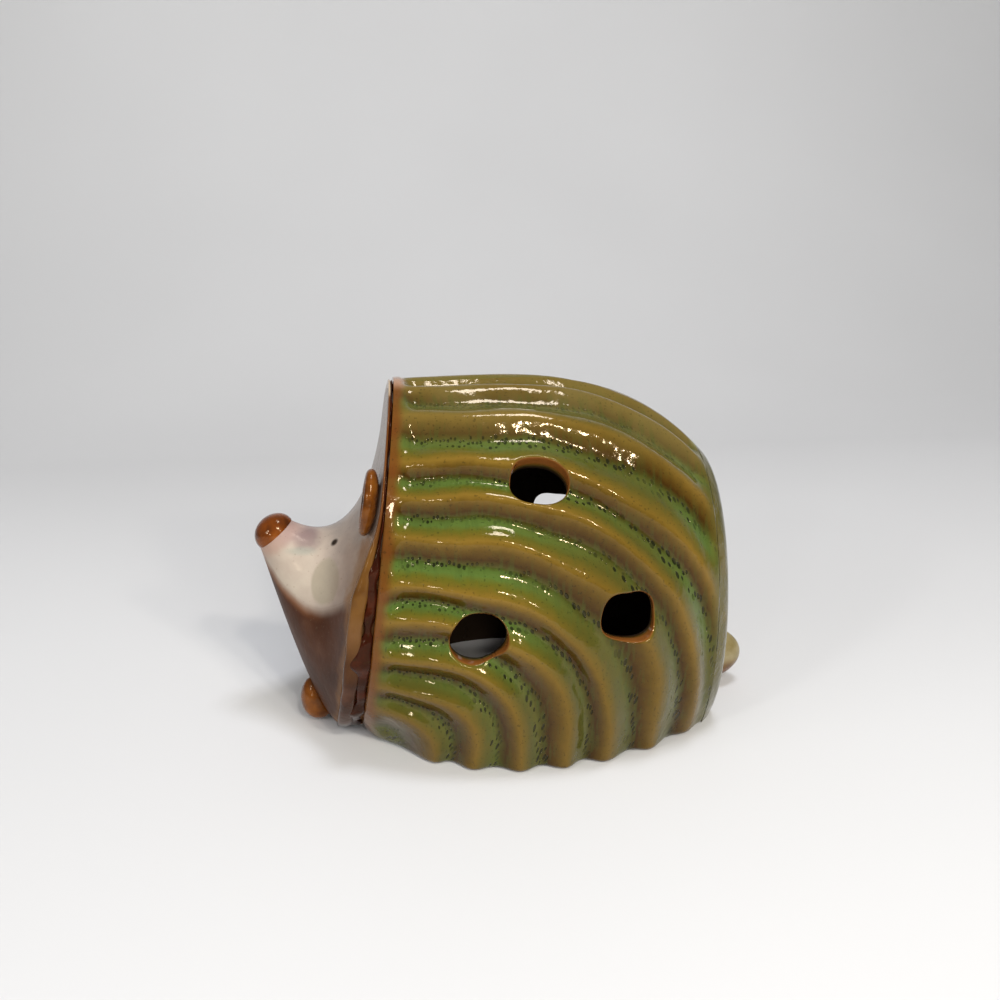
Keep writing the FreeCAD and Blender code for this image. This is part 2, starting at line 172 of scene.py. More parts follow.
def hole_outline(hole, angle):
    """Radius of the cut's edge in mm at an angle: a superellipse with a hand-cut wobble."""
    wide, tall = hole["half"]
    power = hole["power"]
    radius = (np.abs(np.cos(angle) / wide) ** power + np.abs(np.sin(angle) / tall) ** power)
    radius = radius ** (-1 / power)
    phase = hole["phase"]
    wobble = np.sin(2 * angle + phase) + 0.7 * np.sin(3 * angle + 2.1 * phase)
    wobble = wobble + 0.45 * np.sin(5 * angle + 3.3 * phase)
    return radius * (1 + hole["rag"] * wobble)


def shell_arrays(side):
    """Vertices, faces and glaze values of one half, with its holes and its four borders."""
    along_line = np.linspace(0, SHELL_END, SHELL_ALONG + 1)
    around_line = np.linspace(0, 1, SHELL_ROUND + 1)
    along, around = np.meshgrid(along_line, around_line, indexing="ij")
    count = along.size
    index = np.arange(count).reshape(along.shape)
    places = [np.stack([along.ravel(), around.ravel(), np.zeros(count)], -1),
              np.stack([along.ravel(), around.ravel(), np.ones(count)], -1)]
    keep = np.ones((SHELL_ALONG, SHELL_ROUND), bool)
    faces = []
    total = 2 * count
    # Each hole takes cells out of the outer and the inner grid. Rings of points then run from
    # the outer gap's edge to the cut, over its lips through the wall, and to the inner gap.
    for number, hole in enumerate(HOLES):
        shift = FAR_SHIFT if number == 1 and side > 0 else (0, 0)
        centre = place_on_body(hole["x"] + shift[0], hole["z"] + shift[1])
        to_along, to_around = 1 / centre[2], 1 / centre[3]
        margin = 1.5
        i0 = int((centre[0] - hole["half"][0] * margin * to_along) / along_line[1])
        i1 = int((centre[0] + hole["half"][0] * margin * to_along) / along_line[1]) + 1
        j0 = int((centre[1] - hole["half"][1] * margin * to_around) / around_line[1])
        j1 = int((centre[1] + hole["half"][1] * margin * to_around) / around_line[1]) + 1
        keep[i0:i1, j0:j1] = False
        ring_i = np.concatenate([np.arange(i0, i1), np.full(j1 - j0, i1),
                                 np.arange(i1, i0, -1), np.full(j1 - j0, i0)])
        ring_j = np.concatenate([np.full(i1 - i0, j0), np.arange(j0, j1),
                                 np.full(i1 - i0, j1), np.arange(j1, j0, -1)])
        start_a = (along_line[ring_i] - centre[0]) / to_along
        start_b = (around_line[ring_j] - centre[1]) / to_around
        angle = np.arctan2(start_b, start_a)
        edge = hole_outline(hole, angle)
        edge_a, edge_b = edge * np.cos(angle), edge * np.sin(angle)
        spread = [0.2, 0.4, 0.6, 0.76, 0.88, 0.96]
        lip = np.linspace(0, math.pi / 2, LIP_STEPS)
        wider, deep = LIP_OUTSIDE
        outward = [(1 + wider * (1 - math.sin(turn)), deep * (1 - math.cos(turn)))
                   for turn in lip]
        wider, deep = LIP_INSIDE
        inward = [(1 + wider * (1 - math.cos(turn)), 1 - deep * (1 - math.sin(turn)))
                  for turn in lip]
        first = outward[0][0]
        rings = [(("mix", share), 0.0) for share in spread]
        rings += [(("scale", scale), depth) for scale, depth in outward]
        rings += [(("scale", 1.0), depth) for depth in (0.3, 0.5, 0.7)]
        rings += [(("scale", scale), depth) for scale, depth in inward]
        rings += [(("mix", share), 1.0) for share in (0.8, 0.5, 0.25)]
        previous = index[ring_i, ring_j]
        ring_size = len(ring_i)
        for (kind, amount), depth in rings:
            if kind == "mix":
                a = start_a * (1 - amount) + edge_a * first * amount
                b = start_b * (1 - amount) + edge_b * first * amount
            else:
                a, b = edge_a * amount, edge_b * amount
            places.append(np.stack([centre[0] + a * to_along, centre[1] + b * to_around,
                                    np.full(ring_size, depth)], -1))
            current = total + np.arange(ring_size)
            total += ring_size
            faces.append(np.stack([previous, np.roll(previous, -1), np.roll(current, -1),
                                   current], -1))
            previous = current
        current = count + index[ring_i, ring_j]
        faces.append(np.stack([previous, np.roll(previous, -1), np.roll(current, -1),
                               current], -1))
    cells = np.stack([index[:-1, :-1], index[1:, :-1], index[1:, 1:], index[:-1, 1:]], -1)
    cells = cells[keep]
    faces.append(cells)
    faces.append((count + cells)[:, ::-1])
    # The crown, the foot, the front and the rear are closed across the wall
    borders = (index[::-1, 0], index[:, -1], index[0, :], index[-1, ::-1])
    for line in borders:
        faces.append(np.stack([line[:-1], line[1:], count + line[1:], count + line[:-1]], -1))
    places = np.concatenate(places)
    points = shell_point(places[:, 0], places[:, 1], places[:, 2])
    points[:, 1] *= side
    faces = np.concatenate(faces)
    if side < 0:
        faces = faces[:, ::-1]
    rib, part, level = rib_place(places[:, 0], places[:, 1])
    run = (rib * 37.0 + np.arctan2(places[:, 0] * 1.1, (1 - places[:, 1]) + 1e-6)
           * (level * 120 + 10))
    turn = 2 * math.pi * part
    rib_value = np.stack([run, np.sin(turn), np.cos(turn)], -1)
    place_value = np.stack([places[:, 0], places[:, 1], places[:, 2]], -1)
    return points, faces, {"rib": rib_value, "place": place_value}


def make_piece(name, points, faces, material, values=None, sharp=60):
    """A smooth-shaded mesh object from arrays in mm, with its vector values per point."""
    mesh = bpy.data.meshes.new(name)
    quads = faces[:, 2] != faces[:, 3]
    polygons = faces[quads].tolist() + faces[~quads][:, :3].tolist()
    mesh.from_pydata((points * MM).tolist(), [], polygons)
    mesh.polygons.foreach_set("use_smooth", np.ones(len(mesh.polygons), bool))
    mesh.set_sharp_from_angle(angle=math.radians(sharp))
    for key, value in (values or {}).items():
        layer = mesh.attributes.new(key, "FLOAT_VECTOR", "POINT")
        layer.data.foreach_set("vector", np.asarray(value, np.float32).ravel())
    mesh.materials.append(material)
    piece = bpy.data.objects.new(name, mesh)
    bpy.context.scene.collection.objects.link(piece)
    return piece


def linear(code):
    """An sRGB hex colour as linear red, green, blue and alpha."""
    parts = np.array([int(code[i:i + 2], 16) for i in (0, 2, 4)]) / 255
    values = np.where(parts <= 0.04045, parts / 12.92, ((parts + 0.055) / 1.055) ** 2.4)
    return tuple(values) + (1.0,)


# Kinds of node: a name and, where there is one, a mode. STEP is a soft step between two values.
STEP, NOISE, RAMP, MIX = "MapRange SMOOTHSTEP", "TexNoise", "ValToRGB", "Mix RGBA"
PLUS, MINUS, TIMES = "Math ADD", "Math SUBTRACT", "Math MULTIPLY"
# The glaze's reflections get a warm tint, a painted reflection of warm surroundings, and its dents
# are under half a mm deep
WARM_ROOM_REFLECTION = "F4DDBC"
GLAZE_DENTS = 0.0004


class Nodes:
    """The node tree of a material, built up by one call for each node."""

    MODES = {"Math": "operation", "Mix": "data_type", "MapRange": "interpolation_type",
             "TexVoronoi": "voronoi_dimensions"}

    def __init__(self, name):
        self.material = bpy.data.materials.new(name)
        self.material.use_nodes = True
        self.tree = self.material.node_tree
        self.shader = self.tree.nodes["Principled BSDF"]
        self.spot = self.add("TexCoord", out="Object")

    def add(self, kind, *values, out=0, stops=(), **settings):
        """Add a node, set it, fill its inputs in order and give one output, or all for None.

        kind is the node's name and its mode. A value is a socket, a number or a hex colour.
        """
        name, _, mode = kind.partition(" ")
        node = self.tree.nodes.new("ShaderNode" + name)
        if mode:
            settings[self.MODES[name]] = mode
        named = [(node.inputs[key], settings.pop(key)) for key in list(settings)
                 if key in node.inputs]
        for key, value in settings.items():
            setattr(node, key, value)
        inputs = [slot for slot in node.inputs if slot.enabled]
        for socket, value in list(zip(inputs, values)) + named:
            if isinstance(value, bpy.types.NodeSocket):
                self.tree.links.new(value, socket)
            else:
                socket.default_value = linear(value) if isinstance(value, str) else value
        for place, code in stops[1:-1]:
            node.color_ramp.elements.new(place)
        for end, (place, code) in enumerate(stops):
            node.color_ramp.elements[end].position = place
            node.color_ramp.elements[end].color = linear(code)
        if isinstance(out, str):
            return node.outputs[out]
        outputs = [slot for slot in node.outputs if slot.enabled]
        return outputs if out is None else outputs[out]

    def finish(self, colour, height, rough=0.12, ior=1.5, bump=GLAZE_DENTS, shine=0.42):
        """Wire colour, bump height and roughness into the shader of a glossy glaze."""
        sockets = self.shader.inputs
        self.tree.links.new(colour, sockets["Base Color"])
        if isinstance(rough, bpy.types.NodeSocket):
            self.tree.links.new(rough, sockets["Roughness"])
        else:
            sockets["Roughness"].default_value = rough
        sockets["Specular IOR Level"].default_value = shine
        # Painted reflection: every mirror image is tinted warm, as if from warm surroundings
        sockets["Specular Tint"].default_value = linear(WARM_ROOM_REFLECTION)
        sockets["IOR"].default_value = ior
        normal = self.add("Bump", Height=height, Distance=bump, Strength=0.6)
        self.tree.links.new(normal, sockets["Normal"])
        return self.material


# In mm: a valley's width, the band across it that pits stray in, the soft edge of the smallest
# pit's radius, and how much larger the largest one's is
VALLEY_WIDE = 13.5
PIT_ASIDE = 1.9
PIT_EDGE = (0.17, 0.36)
PIT_GROW = 0.36


def ribbed_glaze():
    """Reactive glaze over drawn ribs: tan crests, painted shade on the down-facing flanks, green
    pooled valleys, pits.

    The rib attribute holds the run along a rib in mm and the sine and cosine of the place
    across it, so that the place wraps at a crest without a seam.
    """
    nodes = Nodes("ribbed reactive glaze on stoneware")
    add, spot = nodes.add, nodes.spot
    rib = add("Attribute", out="Vector", attribute_name="rib")
    place = add("Attribute", out="Vector", attribute_name="place")
    run, sine, cosine = add("SeparateXYZ", rib, out=None)
    along, around, depth = add("SeparateXYZ", place, out=None)
    part = add("Math DIVIDE", add("Math ARCTAN2", sine, cosine), 2 * math.pi)
    part = add("Math FRACT", add(PLUS, part, 1.0))
    deep = add(TIMES, add(MINUS, 1.0, cosine), 0.5)
    broad, fine = add(NOISE, spot, 38, 3), add(NOISE, spot, 420, 4)
    ragged = add(TIMES, add(MINUS, broad, 0.5), 0.20)
    grain = add(TIMES, add(MINUS, fine, 0.5), 0.14)
    shifted = add("Math FRACT", add(PLUS, add(PLUS, part, 1.0), add(PLUS, ragged, grain)))
    # From crest to crest: tan where it is thin, green where it pools, and painted shade on the
    # lower, down-facing flank
    green = add(RAMP, shifted,
                stops=((0.0, "745A20"), (0.10, "625218"), (0.22, "555418"), (0.34, "4C6028"),
                       (0.46, "485C26"), (0.55, "3C3C14"), (0.65, "382406"), (0.80, "543E12"),
                       (1.0, "745A20")))
    # The olive glaze carries the same painted shade on the lower flank
    olive = add(RAMP, shifted,
                stops=((0.0, "624C18"), (0.12, "584A18"), (0.24, "4A4618"), (0.40, "4A4A1C"),
                       (0.52, "383610"), (0.64, "342004"), (0.82, "4C380E"), (1.0, "624C18")))
    # Toward the rear, the crown and the foot it turns olive, in patches
    rearward = add(TIMES, add(STEP, along, 0.22, 0.62),
                   add(MINUS, 0.92, add(STEP, along, 0.74, 0.88, 0, 0.6)))
    crown = add(STEP, around, 0.10, 0.36, 1, 0)
    patch = add(TIMES, add(MINUS, add(NOISE, spot, 26, 3), 0.5), 1.6)
    x, y, z = add("SeparateXYZ", spot, out=None)
    low = add(STEP, z, 0.014, 0.044, 1.0, 0.0)
    amount = add("Math MAXIMUM", rearward, add(TIMES, crown, 0.75))
    amount = add(PLUS, add("Math MAXIMUM", amount, low), patch, use_clamp=True)
    colour = add(MIX, amount, green, olive)
    thin = add(STEP, around, 0.12, 0.34, 1, 0)
    thin = add(TIMES, thin, add(STEP, broad, 0.45, 0.8, 1, 0))
    colour = add(MIX, add(TIMES, thin, 0.55), colour, "706438")
    plain = add(RAMP, add(NOISE, spot, 70, 4),
                stops=((0.3, "3C3E16"), (0.55, "504C1C"), (0.8, "625422")))
    colour = add(MIX, add(STEP, along, 0.90, 0.965), colour, plain)
    # Runs of glaze down the valleys, about 6 mm apart round the body
    drip = add("CombineXYZ", add(TIMES, x, 900.0), add(TIMES, y, 160.0), add(TIMES, z, 160.0))
    streaks = add(STEP, add(NOISE, drip, 1.0, 2), 0.48, 0.62)
    streaks = add(TIMES, add(TIMES, streaks, deep), 0.35)
    colour = add(MIX, streaks, colour, "3A4A1E")
    # Rust beside the seam, and pale where it is wiped thin at the crown and the rear seam
    frayed = add(PLUS, along, add(TIMES, add(MINUS, broad, 0.5), 0.03))
    collar = add(STEP, frayed, 0.012, 0.040, 0.85, 0)
    colour = add(MIX, collar, colour, "643814")
    top = add(STEP, around, 0.015, 0.10, 1, 0)
    colour = add(MIX, add(TIMES, top, 0.5), colour, "685826")
    knob = add(TIMES, add(STEP, along, 0.020, 0.042, 1, 0), add(STEP, around, 0.05, 0.11, 1, 0))
    colour = add(MIX, add(TIMES, knob, 0.8), colour, "A47C62")
    seam_end = add(TIMES, add(STEP, along, 0.915, 0.94), add(STEP, around, 0.06, 0.12, 1, 0))
    colour = add(MIX, add(TIMES, seam_end, 0.8), colour, "8C8A60")

    def pit_row(centre, cells, seed):
        """Round pits strung along a valley, each with its own size and its own side step."""
        place = add(PLUS, add(TIMES, run, cells), seed)
        distance, tint = add("TexVoronoi 1D", place, 1.0, Randomness=0.75, out=None)[:2]
        pick = add("SeparateXYZ", tint, out=None)
        lengthwise = add("Math DIVIDE", distance, cells)
        aside = add(TIMES, add(MINUS, pick[0], 0.5), PIT_ASIDE)
        across = add(PLUS, add(TIMES, add(MINUS, part, centre), VALLEY_WIDE), aside)
        far = add(PLUS, add(TIMES, lengthwise, lengthwise), add(TIMES, across, across))
        far = add("Math SQRT", far)
        far = add(MINUS, far, add(TIMES, pick[1], PIT_GROW))
        return add(STEP, far, *PIT_EDGE, 1, 0)

    first_row = pit_row(centre=0.52, cells=0.66, seed=0.0)
    second_row = pit_row(centre=0.40, cells=0.45, seed=7.3)
    here = add(STEP, add(NOISE, spot, 42, 2), 0.40, 0.50)
    there = add(STEP, add(NOISE, spot, 33, 2), 0.46, 0.56, 1, 0)
    first_row = add(TIMES, first_row, add(PLUS, add(TIMES, here, 0.6), 0.4))
    pits = add("Math MAXIMUM", first_row, add(TIMES, second_row, there))
    pits = add(TIMES, pits, add(STEP, deep, 0.35, 0.7))
    few = add(STEP, add(PLUS, around, ragged), 0.10, 0.36)
    pits = add(TIMES, pits, add(PLUS, add(TIMES, few, 0.75), 0.25))
    pits = add(TIMES, pits, add(STEP, along, 0.93, 0.97, 1, 0))
    pits = add(TIMES, pits, add(STEP, add(PLUS, along, add(TIMES, ragged, 0.3)), 0.035, 0.075))
    specks = add(STEP, add(NOISE, spot, 1500, 1), 0.64, 0.72, 0, 0.45)
    dark = add("Math MAXIMUM", pits, specks)
    colour = add(MIX, add(TIMES, dark, 0.9), colour, "15180A")
    # Bare brown clay shows at the cut rims, and painted shade makes the unglazed inside nearly
    # black
    rim = add(TIMES, add(STEP, depth, 0.01, 0.10), add(STEP, depth, 0.45, 0.8, 1, 0))
    colour = add(MIX, rim, colour, "7A4A20")
    colour = add(MIX, add(STEP, depth, 0.5, 0.9), colour, "1D120A")
    # Ripples about 3 and 9 mm long break the mirrored lamps up, and each pit is a dent
    waves = add(PLUS, add(TIMES, add(NOISE, spot, 300, 3), 0.5),
                add(TIMES, add(NOISE, spot, 110, 2), 1.5))
    height = add(MINUS, waves, add(TIMES, pits, 0.9))
    rough = add(PLUS, 0.085, add(STEP, depth, 0.5, 0.9, 0, 0.5))
    return nodes.finish(colour, height, rough=rough, bump=0.0005)


ribbed = ribbed_glaze()
for name, side in (("left_shell", -1), ("right_shell", 1)):
    points, faces, values = shell_arrays(side)
    shell = make_piece(name + "_glazed", points, faces, ribbed, values)
    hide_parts(name)
    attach(shell, "root")


# Rump slab. A flat slab of the same clay closes the rear, flush with the ribs' ends, its edge
# smoothed over. The glaze on it is plain olive brown.
RUMP_ROUND = 2.0
RUMP_MIDDLE = 34.0


def loft(name, rings, material, values=None, sharp=60):
    """A closed mesh from rings of points, each closed on itself, with a pole at each end."""
    rings = np.asarray(rings, float)
    rows, size = rings.shape[:2]
    middle = rings.reshape(-1, 3)
    points = np.concatenate([middle, rings[:1].mean(1), rings[-1:].mean(1)])
    index = np.arange(rows * size).reshape(rows, size)
    after = np.roll(index, -1, 1)
    faces = [np.stack([index[:-1], after[:-1], after[1:], index[1:]], -1).reshape(-1, 4)]
    first, last = rows * size, rows * size + 1
    faces.append(np.stack([after[0], index[0], np.full(size, first), np.full(size, first)], -1))
    faces.append(np.stack([index[-1], after[-1], np.full(size, last), np.full(size, last)], -1))
    return make_piece(name, points, np.concatenate(faces), material, values, sharp)


def arch_ring(along, inset, round_count=120, foot_count=16):
    """A closed ring: the whole section from left foot to right foot, then back underneath."""
    around = np.linspace(0, 1, round_count + 1)
    half = body_point(np.full(around.shape, along), around, inset)
    half[0, 1] = 0
    left = half[::-1] * np.array([1, -1, 1])
    arch = np.concatenate([left[:-1], half])
    share = np.linspace(0, 1, foot_count + 1)[1:-1, None]
    under = arch[-1] * (1 - share) + arch[0] * share
    return np.concatenate([arch, under])


def plain_glaze(name, stops, scale=70, shine=0.42):
    """Glossy glaze that varies softly between a few colours, with fine specks."""
    nodes = Nodes(name)
    add, spot = nodes.add, nodes.spot
    colour = add(RAMP, add(NOISE, spot, scale, 4), stops=stops)
    specks = add(STEP, add(NOISE, spot, 1300, 1), 0.64, 0.74)
    colour = add(MIX, add(TIMES, specks, 0.5), colour, "2A1E0A")
    waves = add(PLUS, add(NOISE, spot, 240, 3), add(TIMES, add(NOISE, spot, 42, 2), 3.0))
    return nodes.finish(colour, waves, bump=0.0006, shine=shine)


rump_rings = []
for along in np.linspace(SHELL_END, 1 - RUMP_ROUND / (REAR_X - FRONT_X), 6):
    rump_rings.append(arch_ring(along, 0))
for turn in np.linspace(0, math.pi / 2, 9)[1:]:
    along = 1 - RUMP_ROUND * (1 - math.sin(turn)) / (REAR_X - FRONT_X)
    rump_rings.append(arch_ring(along, RUMP_ROUND * (1 - math.cos(turn))))
last = rump_rings[-1]
centre = np.array([REAR_X, 0, RUMP_MIDDLE])
for share in np.linspace(0, 0.97, 24)[1:]:
    rump_rings.append(last * (1 - share) + centre * share)
first = rump_rings[0]
centre = np.array([first[:, 0].mean(), 0, RUMP_MIDDLE])
front_rings = [first * (1 - share) + centre * share for share in np.linspace(0.97, 0, 12)[:-1]]
for ring in front_rings:
    ring[:, 0] = first[:, 0].mean()
# An iron glaze lies thin and even on a flat slab: olive brown, with wide soft reflections
olive = plain_glaze("olive brown glaze on stoneware",
                    ((0.3, "3A3A14"), (0.55, "504A1A"), (0.8, "625222")))
rump = loft("rump_slab_glazed", (front_rings + rump_rings)[::-1], olive)
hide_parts("rump_slab")
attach(rump, "root")


# Tail. A pinched nub of the same clay, stuck low on the slab with slip. Its glaze is thick and
# pale on top, and thin and brown underneath.
def dome(name, centre, radii, axis_turn, material, taper=0.0, full=False, wobble=0.0, rounds=64):
    """A half or whole ellipsoid in mm whose pole points along local Z, turned about Y."""
    low = -math.pi / 2 if full else -0.12
    rise = np.linspace(low, math.pi / 2, 36)[1:-1]
    angle = np.linspace(0, 2 * math.pi, rounds, endpoint=False)
    rise, angle = np.meshgrid(rise, angle, indexing="ij")
    height = np.sin(rise)
    thin = 1 - taper * height
    bumps = 1 + wobble * (np.sin(2 * angle + 3 * rise) + 0.6 * np.sin(3 * angle - 2 * rise + 1))
    x = radii[0] * np.cos(rise) * np.cos(angle) * thin * bumps
    y = radii[1] * np.cos(rise) * np.sin(angle) * thin * bumps
    z = radii[2] * height
    turn = math.radians(axis_turn)
    points = np.stack([x * math.cos(turn) + z * math.sin(turn), y,
                       z * math.cos(turn) - x * math.sin(turn)], -1)
    return loft(name, points + np.asarray(centre), material)


def tail_glaze():
    """Pale glaze that has run off the underside: a soft step in height with a ragged edge."""
    nodes = Nodes("pale glaze on the pinched tail")
    add, spot = nodes.add, nodes.spot
    ragged = add(TIMES, add(NOISE, spot, 180, 3), 0.004)
    top = add(STEP, add(PLUS, add("SeparateXYZ", spot, out=2), ragged), 0.007, 0.012)
    brown = add(RAMP, add(NOISE, spot, 200, 3), stops=((0.3, "4A2C12"), (0.7, "7A4A1E")))
    pale = add(RAMP, add(NOISE, spot, 160, 3), stops=((0.3, "7A6C44"), (0.7, "988E6E")))
    return nodes.finish(add(MIX, top, brown, pale), add(NOISE, spot, 300, 3))


tail = dome("tail_glazed", (REAR_X, 0, 9.4), (8.9, 6.9, 14.6), 90, tail_glaze(), wobble=0.008)
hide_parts("tail")
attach(tail, "root")


# Front seam. A coil of clay is pressed into the seam and left wavy under dark maroon glaze.
# Outside it runs the rolled edge of the face slab, where the glaze breaks tan.
LUTING = 0.42
INSET_IN = 2.6
EDGE_PROUD = 1.2
EDGE_MORE = 5.4
EDGE_TURN = (42.0, 69.0)
# A curl of spare slip swells the near side of the coil: its height and half height in mm
KNOT_RISE = 28.0
KNOT_HALF = 3.6


def edge_forward(height):
    """How far the front of the face's edge stands proud of the collar, in mm."""
    return EDGE_PROUD + EDGE_MORE * (1 - smooth_step(height, *EDGE_TURN))


def collar_path(inset, round_count=420):
    """Points of the collar's arch from left foot to right foot, and their outward normals."""
    around = np.linspace(0, 1, round_count + 1)
    half = body_point(np.zeros(around.shape), around, inset)
    half[0, 1] = 0
    path = np.concatenate([(half[::-1] * np.array([1, -1, 1]))[:-1], half])
    run = np.gradient(path, axis=0)
    outward = np.stack([run[:, 1] * 0, -run[:, 2], run[:, 1]], -1)
    outward /= np.linalg.norm(outward, axis=1)[:, None]
    return path, outward


def arch_rod(start, end, out_inset, in_inset, square, lumps, seed, knot=0.0):
    """Rings of a rod laid along the collar between two shares of the way to the face.

    Each ring is a rounded rectangle. Sines of the length swell it and shift it, and a bell of
    the height swells the near side, where a curl of spare slip was left.
    """
    path, outward = collar_path((out_inset + in_inset) / 2)
    reach = edge_forward(path[:, 2])
    mid = (start + end) / 2 * reach
    deep = (end - start) / 2 * reach
    wide = (in_inset - out_inset) / 2
    length = np.concatenate([[0], np.cumsum(np.linalg.norm(np.diff(path, axis=0), axis=1))])
    wave = (np.sin(length * 0.31 + seed) + 0.7 * np.sin(length * 0.57 + 2.3 * seed)
            + 0.4 * np.sin(length * 1.03 + 4.1 * seed))
    angle = np.linspace(0, 2 * math.pi, 32, endpoint=False)
    cos, sin = np.cos(angle), np.sin(angle)
    cos = np.sign(cos) * np.abs(cos) ** square
    sin = np.sign(sin) * np.abs(sin) ** square
    curl = np.exp(-((path[:, 2] - KNOT_RISE) / KNOT_HALF) ** 2) * (path[:, 1] < 0)
    swell = (1 + lumps * wave + knot * curl)[:, None]
    wander = np.sin(length * 0.27 + 3 * seed) + 0.5 * np.sin(length * 0.62 + seed)
    shift = lumps * 0.9 * wander[:, None] * deep[:, None]
    ahead = np.maximum(0.02, mid[:, None] + shift + deep[:, None] * cos * swell)
    outer = wide * sin * swell
    rings = path[:, None, :] + outward[:, None, :] * outer[..., None]
    rings[..., 0] -= ahead
    rings[..., 2] = np.maximum(rings[..., 2], 0.05)
    return rings


# Glaze that pools in a seam fires almost black, red-brown where it is thinner, and less shiny
maroon = plain_glaze("dark maroon glaze pooled in the seam",
                     ((0.3, "1A0804"), (0.52, "2E1007"), (0.75, "481C0B")), 150, 0.22)
coil_rings = arch_rod(start=0.02, end=LUTING + 0.10, out_inset=0.7, in_inset=INSET_IN,
                      square=1.0, lumps=0.32, seed=1.0, knot=0.9)
luting = loft("luting_coil_glazed", coil_rings, maroon)
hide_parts("luting_coil")
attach(luting, "root")


def edge_glaze():
    """Tan glaze where it breaks over the rolled edge, with painted shade making it dark
    mauve-brown near the foot.
    """
    nodes = Nodes("tan glaze breaking over the face's rolled edge")
    add, spot = nodes.add, nodes.spot
    z = add("SeparateXYZ", spot, out=2)
    ragged = add(TIMES, add(MINUS, add(NOISE, spot, 110, 3), 0.5), 0.012)
    z = add(PLUS, z, ragged)
    tan = add(RAMP, add(NOISE, spot, 95, 3),
              stops=((0.3, "4E3014"), (0.5, "66441C"), (0.75, "745230")))
    # Painted shade: darker toward the foot, where the lower front corner lies in shade
    low = add(RAMP, add(NOISE, spot, 140, 3),
              stops=((0.3, "24100A"), (0.55, "3C2014"), (0.8, "523426")))
    colour = add(MIX, add(STEP, z, 0.018, 0.050), low, tan)
    rust = add(STEP, z, 0.058, 0.066, 0, 0.85)
    colour = add(MIX, rust, colour, "5E3416")
    colour = add(MIX, add(STEP, z, 0.0895, 0.0925), colour, "B09A7E")
    return nodes.finish(colour, add(NOISE, spot, 260, 3), rough=0.15, shine=0.26)


edge_rings = arch_rod(start=LUTING, end=1.0, out_inset=0.3, in_inset=INSET_IN + 0.3,
                      square=0.75, lumps=0.05, seed=2.6)
border = loft("face_border_glazed", edge_rings, edge_glaze())
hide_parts("face_border")
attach(border, "root")


# Face. One slab, set on the coil and drawn out by hand to an upturned snout, hollow behind.
# The glaze is cream above, with painted shade and a painted brown reflection under the jaw, and
# dark eye marks.
FACE_INSET = 2.7
FACE_WALL = 4.0
# The drawn curves' steering points and end, in mm: the face's top line, its chin line, its half
# width, and the half width of its keel under the chin
SNOUT_TOP = ((-37.5, 57.0), (-48.0, 48.5), (-60.8, 56.6))
SNOUT_LOW = ((-56.5, 2.5), (-64.0, 30.0), (-69.0, 50.0))
SNOUT_HALF = (25.0, 12.0, 5.2)
CHIN_KEEL = 1.2


def curve_of_four(share, first, second, third, last):
    """Cubic curve through its first and last value, steered by the two between."""
    rest = 1 - share
    return (first * rest ** 3 + second * 3 * rest ** 2 * share
            + third * 3 * rest * share ** 2 + last * share ** 3)


def snout_ring(share, inset=0.0, back=0.0, ease=True):
    """A closed ring round the snout in mm, from left foot over the top and back below."""
    top = CROWN[0] - FACE_INSET
    start_x = [front_plane_x(rise) - edge_forward(rise) for rise in (top, 0.0)]
    high = [curve_of_four(share, first, second, third, last) for first, second, third, last in
            zip((start_x[0], top), *SNOUT_TOP)]
    low = [curve_of_four(share, first, second, third, last) for first, second, third, last in
           zip((start_x[1], 0.0), *SNOUT_LOW)]
    half = curve_of_four(share, WAIST[0] - FACE_INSET, *SNOUT_HALF)
    foot = curve_of_four(share, FOOT[0], CHIN_KEEL, CHIN_KEEL, CHIN_KEEL)
    waist = WAIST_RISE + (0.5 - WAIST_RISE) * share
    around = np.linspace(0, 1, 121)
    turn = np.clip(around / ARCH, 0, 1) * math.pi / 2
    drop = np.clip((around - ARCH) / (1 - ARCH), 0, 1)
    upper = around < ARCH
    y = np.where(upper, half * np.sin(turn),
                 half * np.sqrt(1 - drop ** 2 * (1 - (foot / half) ** 2)))
    rise = np.where(upper, waist + (1 - waist) * np.cos(turn), waist * (1 - drop))
    ring = np.stack([low[0] + (high[0] - low[0]) * rise, y, low[1] + (high[1] - low[1]) * rise],
                    -1)
    ring = np.concatenate([(ring[::-1] * np.array([1, -1, 1]))[:-1], ring])
    if ease:
        path = collar_path(FACE_INSET, 120)[0]
        path[:, 0] -= edge_forward(path[:, 2])
        first = snout_ring(0.0, ease=False)[:len(path)]
        ring = ring + (path - first) * (1 - share) ** 3
    middle = np.array([(high[0] + low[0]) / 2, 0, (high[1] + low[1]) / 2])
    ring = middle + (ring - middle) * (1 - inset / half)
    ring[:, 0] += back
    under = np.linspace(0, 1, 13)[1:-1, None]
    return np.concatenate([ring, ring[-1] * (1 - under) + ring[0] * under])


# Where the painted shade under the jaw begins: its lowest place, its height there, and how fast it
# rises from there, per mm
JAW_X = -54.8
JAW_LOW = 37.2
JAW_BEND = 0.058
# Colours laid over soft ovals on both cheeks: middle and half sizes in mm, colour, how soft,
# how strong, how ragged and the tilt in degrees. The last is the eye, a short pressed dash.
FACE_MARKS = (
    ((-51.2, 15.0, 44.2), (3.5, 12.0, 5.6), "8A826E", 0.12, 0.60, 0.15, -20),
    ((-64.9, 0.0, 53.3), (7.0, 7.5, 7.0), "95685A", 0.20, 0.42, 0.40, 0),
    ((-59.0, 3.0, 54.5), (5.5, 7.0, 3.5), "9A827C", 0.50, 0.65, 1.10, 0),
    ((-56.0, 5.5, 53.0), (3.4, 5.0, 2.6), "6C585A", 0.45, 0.62, 0.90, 0),
    ((-57.5, 6.0, 50.2), (4.0, 4.0, 1.0), "8A9084", 0.50, 0.50, 0.50, 0),
    ((-48.7, 10.0, 52.7), (1.35, 3.0, 0.58), "120C06", 0.25, 0.97, 0.20, 38),
)


